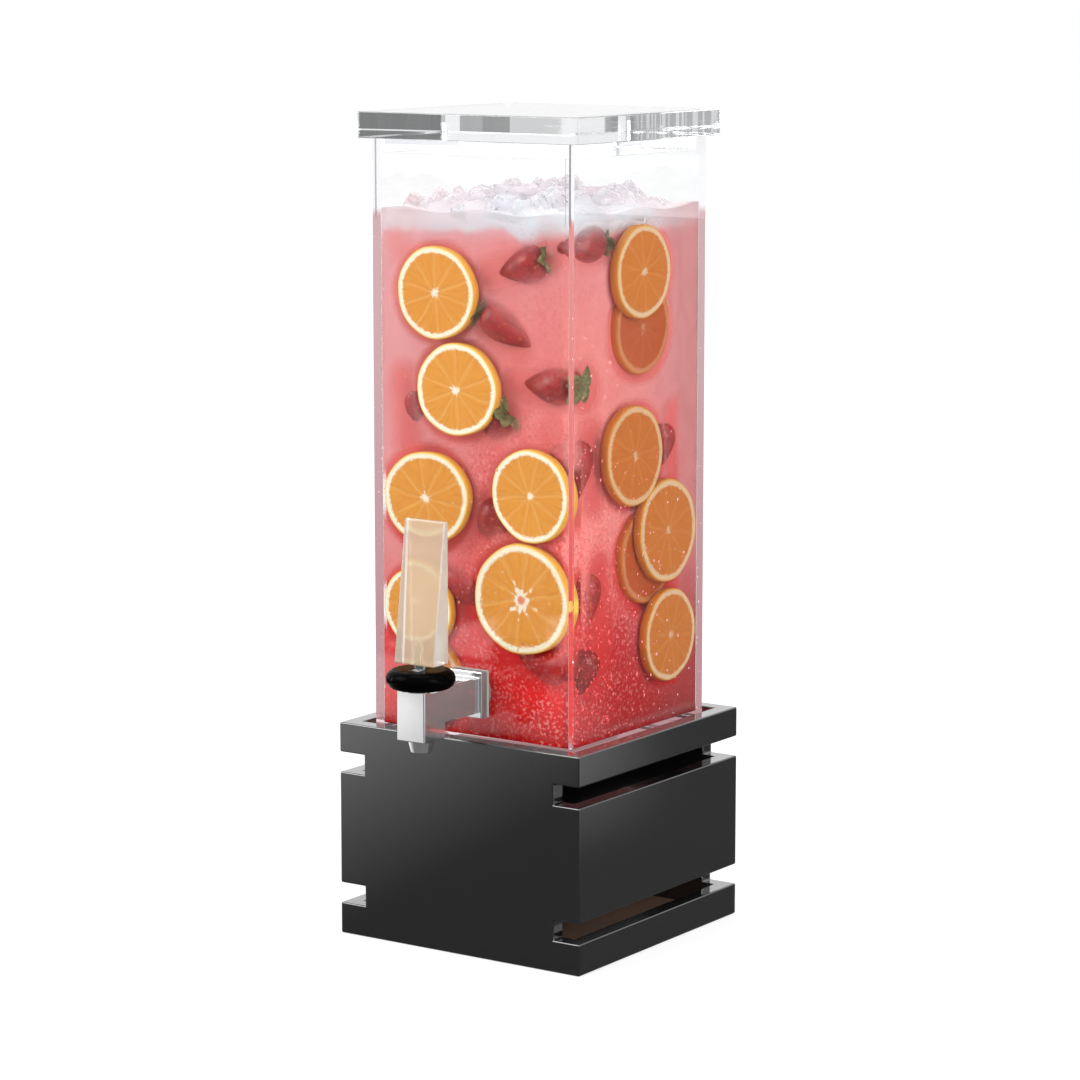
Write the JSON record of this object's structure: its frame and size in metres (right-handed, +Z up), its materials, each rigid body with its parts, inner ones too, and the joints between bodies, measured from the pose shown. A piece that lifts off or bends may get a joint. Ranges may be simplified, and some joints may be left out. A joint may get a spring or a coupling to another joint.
{
  "type": "buffet beverage dispenser",
  "caption": "Clear square drink container with a lift-off lid and a lever tap, standing in a slotted gloss black base.",
  "frame": {"origin": "centre of the base's underside, on the surface that it stands on", "axes": "+Z up, -Y towards the tap and the person who pours, +X to the right when the tap is seen from behind the container"},
  "size_m": [0.2, 0.2637, 0.57],
  "materials": {
    "base_gloss": "polished black acrylic",
    "clear_acrylic": "polished clear acrylic",
    "bright_chrome": "bright chrome plate",
    "bonnet_black": "gloss black moulding",
    "guide_plastic": "white moulding",
    "tinted_acrylic": "polished champagne acrylic",
    "plain_steel": "turned stainless steel",
    "silicone": "grey green silicone"
  },
  "bodies": {
    "base": {"base_front_panel": "base_gloss", "base_back_panel": "base_gloss", "left_top_strip": "base_gloss", "left_middle_strip": "base_gloss", "left_bottom_strip": "base_gloss", "right_top_strip": "base_gloss", "right_middle_strip": "base_gloss", "right_bottom_strip": "base_gloss", "base_bottom_plate": "base_gloss", "front_ledge": "base_gloss", "back_ledge": "base_gloss", "left_ledge": "base_gloss", "right_ledge": "base_gloss"},
    "container": {"container_front_wall": "clear_acrylic", "container_back_wall": "clear_acrylic", "container_left_wall": "clear_acrylic", "container_right_wall": "clear_acrylic", "container_floor": "clear_acrylic", "tap_body": "bright_chrome", "tap_flange": "bright_chrome", "tap_gasket": "silicone", "tap_shank": "bright_chrome", "inner_washer": "silicone", "shank_nut": "bright_chrome", "spout_tip": "bright_chrome", "bonnet_ring": "bonnet_black", "stem_guide": "guide_plastic", "pivot_pin": "plain_steel", "seat_cup": "silicone", "return_spring": "plain_steel"},
    "lid": {"lid_plate": "clear_acrylic", "lid_plug": "clear_acrylic"},
    "handle": {"tap_handle": "tinted_acrylic", "handle_lever": "plain_steel", "stem_pin": "plain_steel"},
    "valve": {"valve_stem": "plain_steel"}
  },
  "joints": [
    {"name": "container_lift", "type": "slide", "parent": "base", "child": "container", "axis": [0, 0, 1], "range_m": [0, 0.08]},
    {"name": "lid_lift", "type": "slide", "parent": "container", "child": "lid", "axis": [0, 0, 1], "range_m": [0, 0.12]},
    {"name": "handle_pull", "type": "hinge", "parent": "container", "child": "handle", "pos_m": [0, -0.147, 0.20225], "axis": [1, 0, 0], "range_deg": [0, 30], "stiffness_Nm_per_rad": 0.5, "springref_deg": -11.46},
    {"name": "valve_lift", "type": "slide", "parent": "container", "child": "valve", "axis": [0, 0, 1], "range_m": [0, 0.0033], "deforming": ["seat_cup", "return_spring"]}
  ],
  "couplings": [
    {"joint": "valve_lift", "follows": "handle_pull", "m_per_rad": 0.006207}
  ]
}
